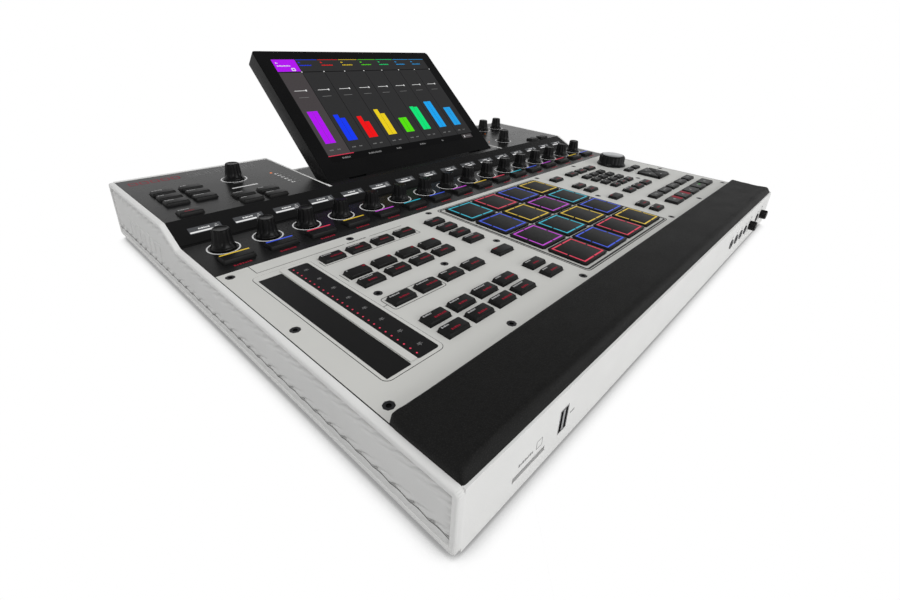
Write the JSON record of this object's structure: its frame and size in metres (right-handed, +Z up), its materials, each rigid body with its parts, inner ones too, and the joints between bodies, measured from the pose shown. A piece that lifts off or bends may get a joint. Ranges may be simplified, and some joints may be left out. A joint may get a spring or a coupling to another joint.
{
  "type": "drum machine",
  "caption": "Desk-top drum machine with a grid of pads, rubber keys, encoder knobs, a data wheel, a padded wrist rest and a tilting screen",
  "frame": {"origin": "On the table under the middle of the outer bounding box", "axes": "+X to the right as the player sees it, +Y away from the player, +Z up"},
  "size_m": [0.5456, 0.4522, 0.1591],
  "materials": {
    "case_paint": "fine grained pale paint",
    "black_deck": "satin black paint",
    "wrist_leather": "black grained leatherette over foam",
    "strip_plastic": "dark touch surface",
    "window_glass": "dark display window",
    "socket_metal": "dark moulded sockets",
    "black_screw": "black plated steel",
    "rubber": "black silicone rubber",
    "board": "green circuit board",
    "black_plastic": "black plastic",
    "screen_glass": "black gloss touch panel"
  },
  "bodies": {
    "case": {"base_pan": "case_paint", "left_cheek": "case_paint", "right_cheek": "case_paint", "control_plate": "case_paint", "rear_deck": "black_deck", "wrist_rest": "wrist_leather", "touch_strips": "strip_plastic", "display_windows": "window_glass", "sockets": "socket_metal", "panel_screws": "black_screw", "rubber_feet": "rubber", "main_board": "board", "hinge_brackets": "black_screw"},
    "screen": {"screen_shell": "black_plastic", "screen_glass": "screen_glass"},
    "encoder_knob_01": {"encoder_knob_01": "black_plastic"},
    "encoder_knob_02": {"encoder_knob_02": "black_plastic"},
    "encoder_knob_03": {"encoder_knob_03": "black_plastic"},
    "encoder_knob_04": {"encoder_knob_04": "black_plastic"},
    "encoder_knob_05": {"encoder_knob_05": "black_plastic"},
    "encoder_knob_06": {"encoder_knob_06": "black_plastic"},
    "encoder_knob_07": {"encoder_knob_07": "black_plastic"},
    "encoder_knob_08": {"encoder_knob_08": "black_plastic"},
    "encoder_knob_09": {"encoder_knob_09": "black_plastic"},
    "encoder_knob_10": {"encoder_knob_10": "black_plastic"},
    "encoder_knob_11": {"encoder_knob_11": "black_plastic"},
    "encoder_knob_12": {"encoder_knob_12": "black_plastic"},
    "encoder_knob_13": {"encoder_knob_13": "black_plastic"},
    "encoder_knob_14": {"encoder_knob_14": "black_plastic"},
    "encoder_knob_15": {"encoder_knob_15": "black_plastic"},
    "encoder_knob_16": {"encoder_knob_16": "black_plastic"},
    "data_wheel": {"data_wheel": "black_plastic"},
    "deck_knob_left": {"deck_knob_left": "black_plastic"},
    "deck_knob_right_1": {"deck_knob_right_1": "black_plastic"},
    "deck_knob_right_2": {"deck_knob_right_2": "black_plastic"},
    "deck_knob_right_3": {"deck_knob_right_3": "black_plastic"},
    "front_knob_1": {"front_knob_1": "black_plastic"},
    "front_knob_2": {"front_knob_2": "black_plastic"},
    "pad_01": {"pad_01": "rubber"},
    "pad_02": {"pad_02": "rubber"},
    "pad_03": {"pad_03": "rubber"},
    "pad_04": {"pad_04": "rubber"},
    "pad_05": {"pad_05": "rubber"},
    "pad_06": {"pad_06": "rubber"},
    "pad_07": {"pad_07": "rubber"},
    "pad_08": {"pad_08": "rubber"},
    "pad_09": {"pad_09": "rubber"},
    "pad_10": {"pad_10": "rubber"},
    "pad_11": {"pad_11": "rubber"},
    "pad_12": {"pad_12": "rubber"},
    "pad_13": {"pad_13": "rubber"},
    "pad_14": {"pad_14": "rubber"},
    "pad_15": {"pad_15": "rubber"},
    "pad_16": {"pad_16": "rubber"},
    "left_panel_buttons": {"left_panel_buttons": "rubber"},
    "right_panel_buttons": {"right_panel_buttons": "rubber"},
    "encoder_buttons": {"encoder_buttons": "rubber"},
    "keypad_keys": {"keypad_keys": "rubber"},
    "transport_buttons": {"transport_buttons": "rubber"},
    "deck_buttons": {"deck_buttons": "rubber"}
  },
  "joints": [
    {"name": "screen_tilt", "type": "hinge", "parent": "case", "child": "screen", "pos_m": [0, 0.09262, 0.0442], "axis": [1, 0, 0], "range_deg": [-40.3, 12]},
    {"name": "encoder_turn_01", "type": "hinge", "parent": "case", "child": "encoder_knob_01", "pos_m": [-0.24675, 0.03357, 0.0455], "axis": [0, 0, 1], "continuous": true},
    {"name": "encoder_turn_02", "type": "hinge", "parent": "case", "child": "encoder_knob_02", "pos_m": [-0.21385, 0.03357, 0.0455], "axis": [0, 0, 1], "continuous": true},
    {"name": "encoder_turn_03", "type": "hinge", "parent": "case", "child": "encoder_knob_03", "pos_m": [-0.18095, 0.03357, 0.0455], "axis": [0, 0, 1], "continuous": true},
    {"name": "encoder_turn_04", "type": "hinge", "parent": "case", "child": "encoder_knob_04", "pos_m": [-0.14805, 0.03357, 0.0455], "axis": [0, 0, 1], "continuous": true},
    {"name": "encoder_turn_05", "type": "hinge", "parent": "case", "child": "encoder_knob_05", "pos_m": [-0.11515, 0.03357, 0.0455], "axis": [0, 0, 1], "continuous": true},
    {"name": "encoder_turn_06", "type": "hinge", "parent": "case", "child": "encoder_knob_06", "pos_m": [-0.08225, 0.03357, 0.0455], "axis": [0, 0, 1], "continuous": true},
    {"name": "encoder_turn_07", "type": "hinge", "parent": "case", "child": "encoder_knob_07", "pos_m": [-0.04935, 0.03357, 0.0455], "axis": [0, 0, 1], "continuous": true},
    {"name": "encoder_turn_08", "type": "hinge", "parent": "case", "child": "encoder_knob_08", "pos_m": [-0.01645, 0.03357, 0.0455], "axis": [0, 0, 1], "continuous": true},
    {"name": "encoder_turn_09", "type": "hinge", "parent": "case", "child": "encoder_knob_09", "pos_m": [0.01645, 0.03357, 0.0455], "axis": [0, 0, 1], "continuous": true},
    {"name": "encoder_turn_10", "type": "hinge", "parent": "case", "child": "encoder_knob_10", "pos_m": [0.04935, 0.03357, 0.0455], "axis": [0, 0, 1], "continuous": true},
    {"name": "encoder_turn_11", "type": "hinge", "parent": "case", "child": "encoder_knob_11", "pos_m": [0.08225, 0.03357, 0.0455], "axis": [0, 0, 1], "continuous": true},
    {"name": "encoder_turn_12", "type": "hinge", "parent": "case", "child": "encoder_knob_12", "pos_m": [0.11515, 0.03357, 0.0455], "axis": [0, 0, 1], "continuous": true},
    {"name": "encoder_turn_13", "type": "hinge", "parent": "case", "child": "encoder_knob_13", "pos_m": [0.14805, 0.03357, 0.0455], "axis": [0, 0, 1], "continuous": true},
    {"name": "encoder_turn_14", "type": "hinge", "parent": "case", "child": "encoder_knob_14", "pos_m": [0.18095, 0.03357, 0.0455], "axis": [0, 0, 1], "continuous": true},
    {"name": "encoder_turn_15", "type": "hinge", "parent": "case", "child": "encoder_knob_15", "pos_m": [0.21385, 0.03357, 0.0455], "axis": [0, 0, 1], "continuous": true},
    {"name": "encoder_turn_16", "type": "hinge", "parent": "case", "child": "encoder_knob_16", "pos_m": [0.24675, 0.03357, 0.0455], "axis": [0, 0, 1], "continuous": true},
    {"name": "data_wheel_turn", "type": "hinge", "parent": "case", "child": "data_wheel", "pos_m": [0.2236, -0.03818, 0.0455], "axis": [0, 0, 1], "continuous": true},
    {"name": "deck_knob_left_turn", "type": "hinge", "parent": "case", "child": "deck_knob_left", "pos_m": [-0.1869, 0.14702, 0.0572], "axis": [0, 0, 1], "range_deg": [-150, 150]},
    {"name": "deck_knob_right_1_turn", "type": "hinge", "parent": "case", "child": "deck_knob_right_1", "pos_m": [0.1683, 0.10202, 0.0572], "axis": [0, 0, 1], "range_deg": [-150, 150]},
    {"name": "deck_knob_right_2_turn", "type": "hinge", "parent": "case", "child": "deck_knob_right_2", "pos_m": [0.2006, 0.16702, 0.0572], "axis": [0, 0, 1], "range_deg": [-150, 150]},
    {"name": "deck_knob_right_3_turn", "type": "hinge", "parent": "case", "child": "deck_knob_right_3", "pos_m": [0.2324, 0.16702, 0.0572], "axis": [0, 0, 1], "range_deg": [-150, 150]},
    {"name": "front_knob_1_turn", "type": "hinge", "parent": "case", "child": "front_knob_1", "pos_m": [0.186, -0.22248, 0.0216], "axis": [0, 1, 0], "range_deg": [-150, 150]},
    {"name": "front_knob_2_turn", "type": "hinge", "parent": "case", "child": "front_knob_2", "pos_m": [0.2375, -0.22248, 0.0216], "axis": [0, 1, 0], "range_deg": [-150, 150]},
    {"name": "pad_press_01", "type": "slide", "parent": "case", "child": "pad_01", "axis": [0, 0, -1], "range_m": [0, 0.001], "stiffness_N_per_m": 4000},
    {"name": "pad_press_02", "type": "slide", "parent": "case", "child": "pad_02", "axis": [0, 0, -1], "range_m": [0, 0.001], "stiffness_N_per_m": 4000},
    {"name": "pad_press_03", "type": "slide", "parent": "case", "child": "pad_03", "axis": [0, 0, -1], "range_m": [0, 0.001], "stiffness_N_per_m": 4000},
    {"name": "pad_press_04", "type": "slide", "parent": "case", "child": "pad_04", "axis": [0, 0, -1], "range_m": [0, 0.001], "stiffness_N_per_m": 4000},
    {"name": "pad_press_05", "type": "slide", "parent": "case", "child": "pad_05", "axis": [0, 0, -1], "range_m": [0, 0.001], "stiffness_N_per_m": 4000},
    {"name": "pad_press_06", "type": "slide", "parent": "case", "child": "pad_06", "axis": [0, 0, -1], "range_m": [0, 0.001], "stiffness_N_per_m": 4000},
    {"name": "pad_press_07", "type": "slide", "parent": "case", "child": "pad_07", "axis": [0, 0, -1], "range_m": [0, 0.001], "stiffness_N_per_m": 4000},
    {"name": "pad_press_08", "type": "slide", "parent": "case", "child": "pad_08", "axis": [0, 0, -1], "range_m": [0, 0.001], "stiffness_N_per_m": 4000},
    {"name": "pad_press_09", "type": "slide", "parent": "case", "child": "pad_09", "axis": [0, 0, -1], "range_m": [0, 0.001], "stiffness_N_per_m": 4000},
    {"name": "pad_press_10", "type": "slide", "parent": "case", "child": "pad_10", "axis": [0, 0, -1], "range_m": [0, 0.001], "stiffness_N_per_m": 4000},
    {"name": "pad_press_11", "type": "slide", "parent": "case", "child": "pad_11", "axis": [0, 0, -1], "range_m": [0, 0.001], "stiffness_N_per_m": 4000},
    {"name": "pad_press_12", "type": "slide", "parent": "case", "child": "pad_12", "axis": [0, 0, -1], "range_m": [0, 0.001], "stiffness_N_per_m": 4000},
    {"name": "pad_press_13", "type": "slide", "parent": "case", "child": "pad_13", "axis": [0, 0, -1], "range_m": [0, 0.001], "stiffness_N_per_m": 4000},
    {"name": "pad_press_14", "type": "slide", "parent": "case", "child": "pad_14", "axis": [0, 0, -1], "range_m": [0, 0.001], "stiffness_N_per_m": 4000},
    {"name": "pad_press_15", "type": "slide", "parent": "case", "child": "pad_15", "axis": [0, 0, -1], "range_m": [0, 0.001], "stiffness_N_per_m": 4000},
    {"name": "pad_press_16", "type": "slide", "parent": "case", "child": "pad_16", "axis": [0, 0, -1], "range_m": [0, 0.001], "stiffness_N_per_m": 4000},
    {"name": "left_panel_buttons_press", "type": "slide", "parent": "case", "child": "left_panel_buttons", "axis": [0, 0, -1], "range_m": [0, 0.0008], "stiffness_N_per_m": 3000},
    {"name": "right_panel_buttons_press", "type": "slide", "parent": "case", "child": "right_panel_buttons", "axis": [0, 0, -1], "range_m": [0, 0.0008], "stiffness_N_per_m": 3000},
    {"name": "encoder_buttons_press", "type": "slide", "parent": "case", "child": "encoder_buttons", "axis": [0, 0, -1], "range_m": [0, 0.0008], "stiffness_N_per_m": 3000},
    {"name": "keypad_keys_press", "type": "slide", "parent": "case", "child": "keypad_keys", "axis": [0, 0, -1], "range_m": [0, 0.0008], "stiffness_N_per_m": 3000},
    {"name": "transport_buttons_press", "type": "slide", "parent": "case", "child": "transport_buttons", "axis": [0, 0, -1], "range_m": [0, 0.0008], "stiffness_N_per_m": 3000},
    {"name": "deck_buttons_press", "type": "slide", "parent": "case", "child": "deck_buttons", "axis": [0, 0, -1], "range_m": [0, 0.0008], "stiffness_N_per_m": 3000}
  ]
}
